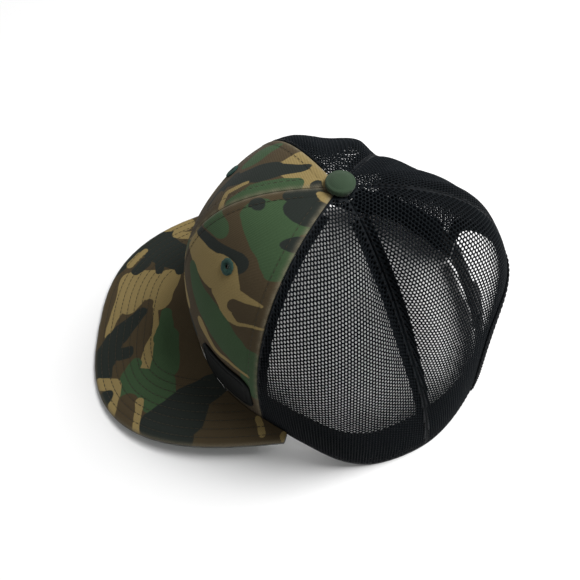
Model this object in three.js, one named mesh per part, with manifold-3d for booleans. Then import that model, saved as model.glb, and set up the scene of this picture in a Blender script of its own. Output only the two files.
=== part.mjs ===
// Six-panel trucker cap: two cloth front panels, four mesh panels, a flat brim, a covered
// button and a plastic snap strap across the arch at the back.
// Millimetres, +Z up. The brim points along -Y, the wearer's left is +X, and the cap stands
// on its side and back hem and on the front edge of the brim.

import * as THREE from 'three';
import { mergeVertices } from 'three/addons/utils/BufferGeometryUtils.js';
import Module from 'manifold-3d';

const wasm = await Module();
wasm.setup();

// ---- Driving dimensions ---------------------------------------------------------------

const GAP = 0.3;                  // clearance between touching pieces
const CROWN_HEIGHT = 132;         // top of the crown above the hem
const CROWN_TOP_Y = -3;           // the button sits a little forward of the middle
const CROWN_TOP_FALL = 0.04;      // slope of the crown top, falling toward the back

// Half of the base outline, front to back: angle from the front, radius of the hem and
// fullness of the profile above it (2 is an ellipse, more is squarer, less is more conical).
// Every second station is a panel seam.
const STATIONS = [
  { angle: 0, radius: 96, fullness: 2.77 },       // front seam
  { angle: 28, radius: 92, fullness: 2.68 },
  { angle: 55.5, radius: 90, fullness: 2.65 },    // front-to-side seam
  { angle: 86, radius: 97, fullness: 2.0 },
  { angle: 116.5, radius: 95.5, fullness: 1.6 },  // side-to-back seam
  { angle: 148, radius: 91, fullness: 2.2 },
  { angle: 180, radius: 95, fullness: 3.0 },      // back seam
];
const HEM_LIFT_END = 100;         // the hem lies flat on the ground behind this angle
const HEM_LIFT_START = 72;

const PANEL = 1.0;                // cloth or mesh panel
const LINING = 0.8;               // stiff lining of the front panels
const TAPE = 0.8;                 // seam tape
const TAPE_WIDTH = 10;
const TAPE_GAP = 0.55;            // a tape bridges the slight ridge of its seam
const SWEATBAND = 1.2;
const ROWS = 12;                  // facet rows from the hem to the ring under the button
const TOP_ANGLE = THREE.MathUtils.degToRad(86.25); // elevation of that ring on the profile
const SWEATBAND_ROWS = 2;         // the sweatband is two rows high, about 31 mm
const SWEATBAND_END = 4.85;       // station of its ends, at the feet of the arch
const CELLS = 8;                  // facets across one panel

const BRIM_HALF_WIDTH = 89.5;
const BRIM_HORN_Y = -38.7;        // where the brim's sides run into the crown
const BRIM_DEPTH = 129;           // horn line to front edge, along the brim
const BRIM_SQUARENESS = 2.82;     // exponent of the rounded front outline
const BRIM_PITCH = THREE.MathUtils.degToRad(11.45);
const BRIM_HORN_Z = 30;           // top face of the brim at the horns
const BRIM_DROOP = 4.0;           // how far the sides droop below the middle
const BRIM_COVER = 0.8;
const BRIM_BOARD = 2.0;
const BRIM_HORN_STATION = 2.35;   // the horns reach past the front-to-side seam

const ARCH_HALF_WIDTH = 47;
const ARCH_HEIGHT = 62;
const ARCH_STRAIGHT = 16;         // straight part of the arch's sides above the hem
const BINDING_FROM = 4.25;        // stations and rows that the binding lies within
const BINDING_TO = 7.75;
const BINDING_ROWS = 6;
const BINDING = 0.8;
const BINDING_WIDTH = 6;
const BINDING_LIP = 1.0;

const STRAP_THICKNESS = 1.4;
const STRAP_BOTTOM = 3;
const STRAP_TOP = 21;
const STRAP_DEPTH = 2.1;          // outer face of the straps below the crown's surface
const STRAP_BOW = 7;              // the strap runs flatter than the hem, most in the middle
const STRAP_HINGE_X = 44.3;
const STRAP_TIP_X = 14.5;          // each strap reaches this far past the middle
const STRAP_END_GAP = 1.0;        // between a strap and its sewn-in tab
const TAB_REACH = 10;             // how far a tab reaches to the side behind the mesh
const TAB_DEPTH = 1.6;
const PEG_SUNK = 0.5;             // how far a peg starts inside its strap
const SNAP_PITCH = 7;
const SNAP_COUNT = 7;
const PEG_RADIUS = 1.5;
const HOLE_RADIUS = 2.3;
const PEG_HEAD = 0.5;             // how far a peg stands out of its hole

const BUTTON_RADIUS = 7.3;
const BUTTON_WALL = 2.6;
const BUTTON_DOME = 2.8;
const RIVET_STEM = 2.4;
const RIVET_HEAD = 7;
const RIVET_HEAD_DEPTH = 3.8;
const RIVET_HEAD_THICKNESS = 1.0;

const EYELET = { station: 1.0, row: 6.88, ring: 3.0, thread: 1.0, flat: 0.6, hole: 1.9 };
const BADGE = { station: 1.44, row: 1.95, width: 40, height: 30, corner: 8, thickness: 1.2 };
const BADGE_SHEET = { reach: 0.53, low: 0.4, high: 3.6 }; // stations and rows it is cut from
const BADGE_CUTTER = 40;          // length of the cutter that gives it its outline

// ---- Materials ------------------------------------------------------------------------

const cloth = (color) => new THREE.MeshStandardMaterial({ color, roughness: 0.95 });
const plastic = (color) => new THREE.MeshStandardMaterial({ color, roughness: 0.45 });
const metal = (color) => {
  return new THREE.MeshStandardMaterial({ color, roughness: 0.4, metalness: 0.9 });
};

const CAMO = 0x6e6a4b;
const BLACK_MESH = 0x17191c;
const BLACK_CLOTH = 0x1d1f22;
const DARK_GREEN = 0x2f4238;
const BUCKRAM = 0xd8d6cc;
const BOARD = 0x3a3a3a;
const BLACK_PLASTIC = 0x141414;
const STEEL = 0x9a9a98;

// ---- Crown surface --------------------------------------------------------------------

// The station curve runs once round the hem, counter-clockwise seen from above, starting
// at the front. Its z coordinate carries the fullness of the profile.
function stationPoint({ angle, radius, fullness }, side) {
  const a = THREE.MathUtils.degToRad(angle);
  return new THREE.Vector3(side * radius * Math.sin(a), -radius * Math.cos(a), fullness);
}

const leftSide = STATIONS.map((s) => stationPoint(s, 1));
const rightSide = STATIONS.slice(1, -1).reverse().map((s) => stationPoint(s, -1));
const hemCurve = new THREE.CatmullRomCurve3([...leftSide, ...rightSide], true, 'catmullrom');
const STATION_COUNT = leftSide.length + rightSide.length;

function hemPoint(station) {
  return hemCurve.getPoint(THREE.MathUtils.euclideanModulo(station / STATION_COUNT, 1));
}

function brimTop(x, y) {
  const ahead = Math.max(0, BRIM_HORN_Y - y);
  const droop = BRIM_DROOP * (x / BRIM_HALF_WIDTH) ** 2;
  return BRIM_HORN_Z - ahead * Math.tan(BRIM_PITCH) - droop;
}

const BRIM_THICKNESS = 2 * BRIM_COVER + BRIM_BOARD + 2 * GAP;

// Height of the hem: level with the underside of the brim in front, on the ground behind.
function hemHeight(x, y) {
  const angle = THREE.MathUtils.radToDeg(Math.atan2(Math.abs(x), -y));
  const lift = 1 - THREE.MathUtils.smoothstep(angle, HEM_LIFT_START, HEM_LIFT_END);
  return lift * (brimTop(x, y) - BRIM_THICKNESS);
}

function crownPoint(station, row) {
  const hem = hemPoint(station);
  const angle = (row / ROWS) * TOP_ANGLE;
  const c = Math.cos(angle);
  const s = Math.sin(Math.abs(angle));
  const round = (c ** hem.z + s ** hem.z) ** (-1 / hem.z);
  const y = THREE.MathUtils.lerp(CROWN_TOP_Y, hem.y, c * round);
  const base = hemHeight(hem.x, hem.y);
  const rise = s * round;
  const fall = CROWN_TOP_FALL * (y - CROWN_TOP_Y) * rise ** 2;
  return new THREE.Vector3(hem.x * c * round, y, base + (CROWN_HEIGHT - base) * rise - fall);
}

// A small step each way gives the surface's two tangents.
const STEP = 1e-3;

function acrossTangent(station, row) {
  const ahead = crownPoint(station + STEP, row);
  return ahead.sub(crownPoint(station - STEP, row)).divideScalar(2 * STEP);
}

function crownNormal(station, row) {
  const up = crownPoint(station, row + STEP).sub(crownPoint(station, Math.max(0, row - STEP)));
  return acrossTangent(station, row).cross(up).normalize();
}

// Point at a depth below the crown's outer surface (a negative depth is outside it).
function crownOffset(station, row, depth) {
  return crownPoint(station, row).addScaledVector(crownNormal(station, row), -depth);
}

// ---- Solids ---------------------------------------------------------------------------

// Bends a unit box (x, y and z from 0 to 1) through place(x, y, z).
function bentBox(cellsX, cellsY, place) {
  const geometry = new THREE.BoxGeometry(1, 1, 1, cellsX, cellsY, 1);
  geometry.translate(0.5, 0.5, 0.5);
  const position = geometry.getAttribute('position');
  for (let i = 0; i < position.count; i++) {
    const p = place(position.getX(i), position.getY(i), position.getZ(i));
    position.setXYZ(i, p.x, p.y, p.z);
  }
  return geometry;
}

// A shell of the crown between two stations, two rows and two depths. The inset, in
// millimetres, draws its two upright edges inward.
function crownShell({ from, to, low, high, outer, inner, inset = 0, cells, rows }) {
  return bentBox(cells, rows, (x, y, z) => {
    const row = THREE.MathUtils.lerp(low, high, y);
    const left = from + inset / acrossTangent(from, row).length();
    const right = to - inset / acrossTangent(to, row).length();
    const station = THREE.MathUtils.lerp(left, right, x);
    return crownOffset(station, row, THREE.MathUtils.lerp(inner, outer, z));
  });
}

function toSolid(geometry) {
  const bare = geometry.clone();
  bare.deleteAttribute('normal');
  bare.deleteAttribute('uv');
  const merged = mergeVertices(bare, 1e-4);
  const vertProperties = new Float32Array(merged.getAttribute('position').array);
  const triVerts = new Uint32Array(merged.index.array);
  return new wasm.Manifold(new wasm.Mesh({ numProp: 3, vertProperties, triVerts }));
}

function toGeometry(solid) {
  const { vertProperties, triVerts } = solid.getMesh();
  const geometry = new THREE.BufferGeometry();
  geometry.setAttribute('position', new THREE.BufferAttribute(vertProperties, 3));
  geometry.setIndex(new THREE.BufferAttribute(triVerts, 1));
  return geometry;
}

// Turns a piece built round the +Z axis so that +Z leaves the crown at the given place.
function standOnCrown(geometry, station, row, depth) {
  const turn = new THREE.Quaternion();
  turn.setFromUnitVectors(new THREE.Vector3(0, 0, 1), crownNormal(station, row));
  geometry.applyQuaternion(turn);
  const p = crownOffset(station, row, depth);
  return geometry.translate(p.x, p.y, p.z);
}

const cap = new THREE.Group();
cap.name = 'trucker_cap';

function add(parent, name, geometry, material) {
  const mesh = new THREE.Mesh(geometry, material);
  mesh.name = name;
  parent.add(mesh);
}

// Calls build('left', 1) and build('right', -1).
function eachSide(build) {
  build('left', 1);
  build('right', -1);
}

// ---- Arch at the back -----------------------------------------------------------------

const ARCH_FOOT_Z = -10;          // the prism starts below the hem
const ARCH_PRISM_BACK_Y = 130;    // behind the crown
const ARCH_PRISM_LENGTH = 90;

// A prism through the back of the crown whose section is the arch, grown by an amount.
function archPrism(grow) {
  const halfWidth = ARCH_HALF_WIDTH + grow;
  const outline = new THREE.Shape();
  outline.moveTo(-halfWidth, ARCH_FOOT_Z);
  outline.lineTo(halfWidth, ARCH_FOOT_Z);
  outline.lineTo(halfWidth, ARCH_STRAIGHT);
  outline.absellipse(0, ARCH_STRAIGHT, halfWidth, ARCH_HEIGHT + grow - ARCH_STRAIGHT, 0, Math.PI);
  const prism = new THREE.ExtrudeGeometry(outline, {
    depth: ARCH_PRISM_LENGTH,
    bevelEnabled: false,
    curveSegments: 10,
  });
  return toSolid(prism.rotateX(Math.PI / 2).translate(0, ARCH_PRISM_BACK_Y, 0));
}

const archCut = archPrism(0);

// ---- Crown: panels, lining, tapes, binding, sweatband -----------------------------------

const LINING_DEPTH = PANEL + GAP;
const FRONT_TAPE_DEPTH = LINING_DEPTH + LINING + TAPE_GAP;
const MESH_TAPE_DEPTH = PANEL + TAPE_GAP;
const SWEATBAND_DEPTH = FRONT_TAPE_DEPTH + TAPE + GAP;

// Stations of a panel's two edges, in order, for the left (1) or right (-1) side.
function edges(side, near, far) {
  return side > 0 ? { from: near, to: far } : { from: -far, to: -near };
}

function panelShell(side, near, far, outer, inner) {
  const grid = { low: 0, high: ROWS, cells: CELLS, rows: ROWS };
  return crownShell({ ...edges(side, near, far), ...grid, outer, inner, inset: GAP / 2 });
}

// The vent hole in a front panel and its lining.
function ventDrill(side) {
  const drill = new THREE.CylinderGeometry(EYELET.hole, EYELET.hole, 16, 16);
  drill.rotateX(Math.PI / 2);
  return toSolid(standOnCrown(drill, side * EYELET.station, EYELET.row, 0));
}

function buildPanels(crown) {
  eachSide((name, side) => {
    const drill = ventDrill(side);
    const front = toSolid(panelShell(side, 0, 2, 0, PANEL)).subtract(drill);
    add(crown, `front_panel_${name}`, toGeometry(front), cloth(CAMO));

    const depth = LINING_DEPTH + LINING;
    const lining = toSolid(panelShell(side, 0, 2, LINING_DEPTH, depth)).subtract(drill);
    add(crown, `front_lining_${name}`, toGeometry(lining), cloth(BUCKRAM));

    add(crown, `side_mesh_${name}`, panelShell(side, 2, 4, 0, PANEL), cloth(BLACK_MESH));

    const back = toSolid(panelShell(side, 4, 6, 0, PANEL)).subtract(archCut);
    add(crown, `back_mesh_${name}`, toGeometry(back), cloth(BLACK_MESH));
  });
}

function tapeShell(station, outer, low) {
  const halfWidth = TAPE_WIDTH / 2;
  const high = ROWS - 1;
  return bentBox(2, high - low, (x, y, z) => {
    const row = THREE.MathUtils.lerp(low, high, y);
    const sideways = (2 * x - 1) * halfWidth / acrossTangent(station, row).length();
    return crownOffset(station + sideways, row, outer + (1 - z) * TAPE);
  });
}

function buildTapes(crown) {
  const black = () => cloth(BLACK_CLOTH);
  add(crown, 'seam_tape_front', tapeShell(0, FRONT_TAPE_DEPTH, 0), black());
  eachSide((name, side) => {
    const front = tapeShell(side * 2, FRONT_TAPE_DEPTH, 0);
    const back = tapeShell(side * 4, MESH_TAPE_DEPTH, 0);
    add(crown, `seam_tape_front_${name}`, front, black());
    add(crown, `seam_tape_back_${name}`, back, black());
  });
  const overArch = toSolid(tapeShell(6, MESH_TAPE_DEPTH, 2)).subtract(archPrism(1));
  add(crown, 'seam_tape_back', toGeometry(overArch), black());
}

// The binding lies on the outside of the mesh round the arch and laps over its cut edge.
function buildArchBinding(crown) {
  const span = { from: BINDING_FROM, to: BINDING_TO, low: 0, high: BINDING_ROWS };
  const grid = { ...span, cells: 28, rows: BINDING_ROWS };
  const outer = -GAP - BINDING;
  const leaf = toSolid(crownShell({ ...grid, outer, inner: -GAP }));
  const lap = toSolid(crownShell({ ...grid, outer, inner: PANEL }));
  const edge = archPrism(-GAP);
  const lip = archPrism(-GAP - BINDING_LIP);
  const face = leaf.intersect(archPrism(BINDING_WIDTH)).subtract(lip);
  const binding = face.add(lap.intersect(edge).subtract(lip));
  add(crown, 'arch_binding', toGeometry(binding), cloth(BLACK_CLOTH));
}

function buildSweatband(crown) {
  const band = crownShell({
    from: -SWEATBAND_END,
    to: SWEATBAND_END,
    low: 0,
    high: SWEATBAND_ROWS,
    outer: SWEATBAND_DEPTH,
    inner: SWEATBAND_DEPTH + SWEATBAND,
    cells: 40,
    rows: SWEATBAND_ROWS,
  });
  add(crown, 'sweatband', band, cloth(BLACK_CLOTH));
}

// ---- Button, eyelets and badge ----------------------------------------------------------

function buildButton(crown) {
  const seat = new THREE.Group();
  seat.position.set(0, CROWN_TOP_Y, CROWN_HEIGHT);
  seat.rotation.x = -Math.atan(CROWN_TOP_FALL);
  crown.add(seat);

  const cover = new THREE.Path();
  cover.moveTo(0, GAP);
  cover.lineTo(BUTTON_RADIUS - 0.8, GAP);
  cover.quadraticCurveTo(BUTTON_RADIUS, GAP, BUTTON_RADIUS, GAP + 1);
  cover.lineTo(BUTTON_RADIUS, GAP + BUTTON_WALL);
  const domeTop = GAP + BUTTON_WALL + BUTTON_DOME;
  cover.bezierCurveTo(BUTTON_RADIUS - 0.6, domeTop - 0.4, 4, domeTop, 0, domeTop);
  const dome = new THREE.LatheGeometry(cover.getPoints(6), 32);
  add(seat, 'button_cover', dome.rotateX(Math.PI / 2), cloth(DARK_GREEN));

  const headTop = -RIVET_HEAD_DEPTH;
  const headBottom = headTop - RIVET_HEAD_THICKNESS;
  const rivet = [
    new THREE.Vector2(0, headBottom),
    new THREE.Vector2(RIVET_HEAD, headBottom),
    new THREE.Vector2(RIVET_HEAD, headTop),
    new THREE.Vector2(RIVET_STEM, headTop),
    new THREE.Vector2(RIVET_STEM, 0),
    new THREE.Vector2(0, 0),
  ];
  const stem = new THREE.LatheGeometry(rivet, 24);
  add(seat, 'button_rivet', stem.rotateX(Math.PI / 2), metal(STEEL));
}

function buildEyelets(crown) {
  eachSide((name, side) => {
    const ring = new THREE.TorusGeometry(EYELET.ring, EYELET.thread, 8, 24);
    ring.scale(1, 1, EYELET.flat);
    const depth = -GAP - EYELET.thread * EYELET.flat;
    standOnCrown(ring, side * EYELET.station, EYELET.row, depth);
    add(crown, `eyelet_${name}`, ring, cloth(DARK_GREEN));
  });
}

// A plain rounded plate on the wearer's left, bent to the crown just above the brim.
function buildBadge(crown) {
  const { station, row, width, height, corner, thickness } = BADGE;
  const { reach, low, high } = BADGE_SHEET;
  const sheet = crownShell({
    from: station - reach,
    to: station + reach,
    low,
    high,
    cells: 12,
    rows: 6,
    outer: -GAP - thickness,
    inner: -GAP,
  });
  const x = width / 2 - corner;
  const y = height / 2 - corner;
  const outline = new THREE.Shape();
  outline.absarc(x, -y, corner, -Math.PI / 2, 0);
  outline.absarc(x, y, corner, 0, Math.PI / 2);
  outline.absarc(-x, y, corner, Math.PI / 2, Math.PI);
  outline.absarc(-x, -y, corner, Math.PI, 1.5 * Math.PI);
  const options = { depth: BADGE_CUTTER, bevelEnabled: false, curveSegments: 5 };
  const cutter = new THREE.ExtrudeGeometry(outline, options);
  cutter.translate(0, 0, -BADGE_CUTTER / 2);
  const turn = new THREE.Matrix4();
  const out = crownNormal(station, row);
  const along = acrossTangent(station, row).normalize();
  turn.makeBasis(along, out.clone().cross(along), out);
  turn.setPosition(crownPoint(station, row));
  const plate = toSolid(sheet).intersect(toSolid(cutter.applyMatrix4(turn)));
  add(crown, 'front_badge', toGeometry(plate), plastic(BLACK_PLASTIC));
}

// ---- Brim -------------------------------------------------------------------------------

const BRIM_CELLS_ACROSS = 32;
const BRIM_CELLS_DEEP = 4;
const BRIM_CLEARANCE = 0.4;       // between the brim's inner edge and the crown

function power(value, exponent) {
  return Math.sign(value) * Math.abs(value) ** exponent;
}

// The front outline, a rounded rectangle-like curve from the right horn to the left one.
function brimOutline(share) {
  const angle = Math.PI * (1 - share);
  const exponent = 2 / BRIM_SQUARENESS;
  const depth = BRIM_DEPTH * Math.cos(BRIM_PITCH);
  const x = BRIM_HALF_WIDTH * power(Math.cos(angle), exponent);
  const y = BRIM_HORN_Y - depth * power(Math.sin(angle), exponent);
  return new THREE.Vector2(x, y);
}

function brimLayer(topDepth, thickness) {
  return bentBox(BRIM_CELLS_ACROSS, BRIM_CELLS_DEEP, (x, y, z) => {
    const station = THREE.MathUtils.lerp(-BRIM_HORN_STATION, BRIM_HORN_STATION, x);
    const inner = crownOffset(station, 0, -BRIM_CLEARANCE);
    const p = brimOutline(x).lerp(new THREE.Vector2(inner.x, inner.y), y);
    const height = brimTop(p.x, p.y) - topDepth - (1 - z) * thickness;
    return new THREE.Vector3(p.x, p.y, height);
  });
}

function buildBrim(parent) {
  const boardDepth = BRIM_COVER + GAP;
  const underDepth = boardDepth + BRIM_BOARD + GAP;
  add(parent, 'brim_cover_top', brimLayer(0, BRIM_COVER), cloth(CAMO));
  add(parent, 'brim_board', brimLayer(boardDepth, BRIM_BOARD), plastic(BOARD));
  add(parent, 'brim_cover_under', brimLayer(underDepth, BRIM_COVER), cloth(CAMO));
}

// ---- Snap strap -------------------------------------------------------------------------

// Station on the back half of the hem whose outer point has the given x.
function stationAtX(x) {
  let low = 4;
  let high = 8;
  while (high - low > 1e-6) {
    const middle = (low + high) / 2;
    if (hemPoint(middle).x > x) low = middle;
    else high = middle;
  }
  return low;
}

// A strip that follows the hem from one x to another at a depth given by depthAt(x).
function strapStrip(fromX, toX, depthAt, cells) {
  return bentBox(cells, 1, (x, y, z) => {
    const along = THREE.MathUtils.lerp(fromX, toX, x);
    const station = stationAtX(along);
    const depth = depthAt(along) + (1 - z) * STRAP_THICKNESS;
    const p = crownOffset(station, 0, depth);
    p.z = THREE.MathUtils.lerp(STRAP_BOTTOM, STRAP_TOP, y);
    return p;
  });
}

const STRAP_MIDDLE = (STRAP_BOTTOM + STRAP_TOP) / 2;
const STRAP_LAP = STRAP_THICKNESS + GAP;

function outerStrapDepth(x) {
  return STRAP_DEPTH + STRAP_BOW * (1 - (x / STRAP_HINGE_X) ** 2);
}

// The inner strap leaves its tab level with the outer one and dips under it.
function innerStrapDepth(x) {
  const dip = THREE.MathUtils.smoothstep(x, -STRAP_HINGE_X + 4, -STRAP_TIP_X - 4);
  return outerStrapDepth(x) + STRAP_LAP * dip;
}

// Point at mid height of the strap and at a depth below the crown, where x is given.
function strapPoint(x, depth) {
  const p = crownOffset(stationAtX(x), 0, depth);
  return p.setZ(STRAP_MIDDLE);
}

// The snap positions of the outer strap (side 1) or the inner strap (side -1): both have
// one every pitch, and the four nearest the middle coincide.
function snapPositions(side) {
  const first = -1.5 * SNAP_PITCH;
  return Array.from({ length: SNAP_COUNT }, (_, i) => side * (first + i * SNAP_PITCH));
}

// A round bar along Y, centred on a point.
function snapBar(radius, centre, length) {
  const bar = new THREE.CylinderGeometry(radius, radius, length, 16);
  return toSolid(bar.translate(centre.x, centre.y, centre.z));
}

function buildOuterStrap(parent) {
  const strip = strapStrip(STRAP_HINGE_X, -STRAP_TIP_X, outerStrapDepth, 16);
  let strap = toSolid(strip);
  for (const x of snapPositions(1)) {
    strap = strap.subtract(snapBar(HOLE_RADIUS, strapPoint(x, outerStrapDepth(x)), 12));
  }
  add(parent, 'strap_holes', toGeometry(strap), plastic(BLACK_PLASTIC));
}

function buildInnerStrap(parent) {
  const strip = strapStrip(STRAP_TIP_X, -STRAP_HINGE_X, innerStrapDepth, 16);
  const length = STRAP_THICKNESS + GAP + PEG_HEAD + PEG_SUNK;
  let strap = toSolid(strip);
  for (const x of snapPositions(-1)) {
    const centre = strapPoint(x, innerStrapDepth(x));
    centre.y += length / 2 - PEG_SUNK;
    strap = strap.add(snapBar(PEG_RADIUS, centre, length));
  }
  add(parent, 'strap_pegs', toGeometry(strap), plastic(BLACK_PLASTIC));
}

// The ends of the strap that are sewn inside the mesh at the foot of the arch. They lean
// with the mesh; the rows bound the height of the strap.
function buildStrapTabs(crown) {
  const near = STRAP_HINGE_X + STRAP_END_GAP;
  const rowAt = (z) => (ROWS * z) / (CROWN_HEIGHT * TOP_ANGLE);
  eachSide((name, side) => {
    const nearStation = stationAtX(side * near);
    const farStation = stationAtX(side * (near + TAB_REACH));
    const tab = crownShell({
      from: Math.min(nearStation, farStation),
      to: Math.max(nearStation, farStation),
      low: rowAt(STRAP_BOTTOM),
      high: rowAt(STRAP_TOP),
      outer: TAB_DEPTH,
      inner: TAB_DEPTH + STRAP_THICKNESS,
      cells: 3,
      rows: 1,
    });
    add(crown, `strap_tab_${name}`, tab, plastic(BLACK_PLASTIC));
  });
}

// ---- Assembly ---------------------------------------------------------------------------

// Everything above is measured from the middle of the head opening; the finished cap is
// moved back so that its origin lies under the middle of its whole length.
const ORIGIN_SHIFT_Y = 35.93;

buildPanels(cap);
buildTapes(cap);
buildArchBinding(cap);
buildSweatband(cap);
buildButton(cap);
buildEyelets(cap);
buildBadge(cap);
buildBrim(cap);
buildStrapTabs(cap);
buildOuterStrap(cap);
buildInnerStrap(cap);

cap.position.y = ORIGIN_SHIFT_Y;

export default cap;
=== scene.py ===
import math

import bpy
import numpy as np
from mathutils import Matrix, Vector


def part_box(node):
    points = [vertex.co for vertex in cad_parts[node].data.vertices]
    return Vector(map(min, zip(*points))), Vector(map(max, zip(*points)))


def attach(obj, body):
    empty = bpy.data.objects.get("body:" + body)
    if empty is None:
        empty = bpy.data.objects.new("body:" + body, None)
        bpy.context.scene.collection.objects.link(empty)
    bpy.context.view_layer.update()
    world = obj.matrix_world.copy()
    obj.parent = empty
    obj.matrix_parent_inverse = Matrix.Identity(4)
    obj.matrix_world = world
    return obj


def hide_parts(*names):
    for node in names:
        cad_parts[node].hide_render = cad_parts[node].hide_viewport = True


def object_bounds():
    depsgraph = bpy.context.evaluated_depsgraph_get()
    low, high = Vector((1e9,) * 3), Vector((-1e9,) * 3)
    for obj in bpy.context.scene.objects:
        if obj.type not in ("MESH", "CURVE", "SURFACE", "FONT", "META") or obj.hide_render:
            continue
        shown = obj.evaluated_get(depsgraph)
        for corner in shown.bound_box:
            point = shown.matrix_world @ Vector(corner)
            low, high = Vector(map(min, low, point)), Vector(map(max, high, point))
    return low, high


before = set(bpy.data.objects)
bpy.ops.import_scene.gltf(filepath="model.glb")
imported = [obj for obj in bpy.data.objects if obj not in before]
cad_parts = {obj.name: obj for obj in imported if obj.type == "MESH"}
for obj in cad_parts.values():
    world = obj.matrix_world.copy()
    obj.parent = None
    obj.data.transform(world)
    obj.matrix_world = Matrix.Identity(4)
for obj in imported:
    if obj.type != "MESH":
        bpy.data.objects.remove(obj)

# Six-panel trucker cap. Lengths are millimetres from the middle of the head opening until a
# mesh is made; the front points along -Y and the wearer's left is +X.
cad_lo, cad_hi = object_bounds()

# ---- Driving dimensions: the crown surface and the brim, as the frame has them ------------

HEIGHT, TOP_Y, TOP_FALL = 132.0, -3.0, 0.04
STATIONS = (  # angle from the front, hem radius, fullness of the profile above it
    (0, 96, 2.77),
    (28, 92, 2.68),
    (55.5, 90, 2.65),
    (86, 97, 2.0),
    (116.5, 95.5, 1.6),
    (148, 91, 2.2),
    (180, 95, 3.0),
)
ROWS, TOP_ANGLE = 12, math.radians(86.25)
LIFT_START, LIFT_END = 72, 100
BRIM_HALF, BRIM_HORN_Y, BRIM_DEPTH, BRIM_SQUARE = 89.5, -38.7, 129, 2.82
BRIM_PITCH, BRIM_HORN_Z, BRIM_DROOP, BRIM_THICK = math.radians(11.45), 30.0, 4.0, 4.2
BRIM_COVER, BRIM_HORN_STATION, BRIM_CLEARANCE = 0.8, 2.35, 0.4
ARCH_HALF, ARCH_HEIGHT, ARCH_STRAIGHT = 47, 62, 16
BUTTON_RADIUS = 7.3
EYELET_STATION, EYELET_ROW = 1.0, 6.88
BADGE_STATION, BADGE_ROW, BADGE_WIDE, BADGE_HIGH, BADGE_CORNER = 1.44, 1.95, 40, 30, 8
SWEATBAND_END = 4.85
SHIFT_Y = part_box("brim_cover_top")[0].y * 1000 + BRIM_DEPTH * math.cos(BRIM_PITCH) - BRIM_HORN_Y

rng = np.random.default_rng(7)


def smooth(t):
    t = np.clip(t, 0, 1)
    return t * t * (3 - 2 * t)


# ---- Crown surface -------------------------------------------------------------------------

def station_points():
    half = [(r * math.sin(math.radians(a)), -r * math.cos(math.radians(a)), f) for a, r, f in STATIONS]
    return np.array(half + [(-x, y, f) for x, y, f in half[-2:0:-1]])


POINTS = station_points()


def hem(u):
    """Closed curve through the stations: x, y and the fullness of the profile."""
    u = np.asarray(u, float) % 12
    i = np.floor(u).astype(int)
    w = (u - i)[..., None]
    p0, p1, p2, p3 = (POINTS[(i + k) % 12] for k in (-1, 0, 1, 2))
    v0, v1 = (p2 - p0) / 2, (p3 - p1) / 2
    return (2 * p1 - 2 * p2 + v0 + v1) * w**3 + (3 * p2 - 3 * p1 - 2 * v0 - v1) * w**2 + v0 * w + p1


def brim_top(x, y):
    fall = np.maximum(0, BRIM_HORN_Y - y) * math.tan(BRIM_PITCH)
    return BRIM_HORN_Z - fall - BRIM_DROOP * (x / BRIM_HALF) ** 2


def taut_crown(u, row):
    """The crown surface without folds."""
    u, row = np.broadcast_arrays(np.asarray(u, float), np.asarray(row, float))
    h = hem(u)
    x, y, full = h[..., 0], h[..., 1], h[..., 2]
    away = np.degrees(np.arctan2(np.abs(x), -y))
    base = (1 - smooth((away - LIFT_START) / (LIFT_END - LIFT_START))) * (brim_top(x, y) - BRIM_THICK)
    a = row / ROWS * TOP_ANGLE
    c, s = np.abs(np.cos(a)), np.abs(np.sin(a))
    k = (c**full + s**full) ** (-1 / full)
    yy = TOP_Y + (y - TOP_Y) * c * k
    rise = s * k
    z = base + (HEIGHT - base) * rise - TOP_FALL * (yy - TOP_Y) * rise**2
    return np.stack([x * c * k, yy, z], -1)


def outward(surface, u, row):
    """Unit normal of a surface over stations and rows."""
    d = 1e-3
    u, row = np.asarray(u, float), np.asarray(row, float)
    across = surface(u + d, row) - surface(u - d, row)
    up = surface(u, row + d) - surface(u, np.maximum(row - d, 0))
    n = np.cross(across, up)
    return n / np.linalg.norm(n, axis=-1, keepdims=True)


# Soft folds that run down the mesh from the button: station, half width in stations, height.
FOLDS = (
    (3.1, 0.55, 1.2), (3.95, 0.20, -3.4), (4.4, 0.22, 2.2),
    (4.95, 0.24, -2.4), (5.5, 0.25, 1.6), (6.1, 0.22, -1.6),
    (-2.75, 0.4, -1.6), (-3.45, 0.3, 5.8), (-3.85, 0.3, 2.6),
    (-4.3, 0.28, 3.0), (-4.9, 0.3, -1.6), (-5.45, 0.26, -1.9),
)


def fold(u, row):
    """Height of the folds: none at the hem, on the front panels or under the button."""
    u = (np.asarray(u, float) + 6) % 12 - 6
    total = 0.0
    for at, half, high in FOLDS:
        gap = (u - at - 0.05 * np.sin(row * 0.8 + at) + 6) % 12 - 6
        total = total + high * np.exp(-((gap / half) ** 2))
    fade = smooth((np.abs(u) - 2.1) / 0.5)
    return total * fade * smooth((row - 2.6) / 3.2) * smooth((11.2 - row) / 2.6)


def crown(u, row):
    u, row = np.broadcast_arrays(np.asarray(u, float), np.asarray(row, float))
    return taut_crown(u, row) + outward(taut_crown, u, row) * fold(u, row)[..., None]


def crown_out(u, row):
    return outward(crown, u, row)


def crown_in(u, row, depth):
    """Point under the crown surface by a depth; a negative depth is outside it."""
    depth = np.asarray(depth, float)
    return crown(u, row) - crown_out(u, row) * depth[..., None]


def in_arch(x, z, grow=0.0):
    """Signed distance-like value of the arch at the back: below zero inside its opening."""
    half, top = ARCH_HALF + grow, ARCH_HEIGHT + grow - ARCH_STRAIGHT
    over = np.maximum(z - ARCH_STRAIGHT, 0)
    return (np.sqrt((x / half) ** 2 + (over / top) ** 2) - 1) * half


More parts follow.
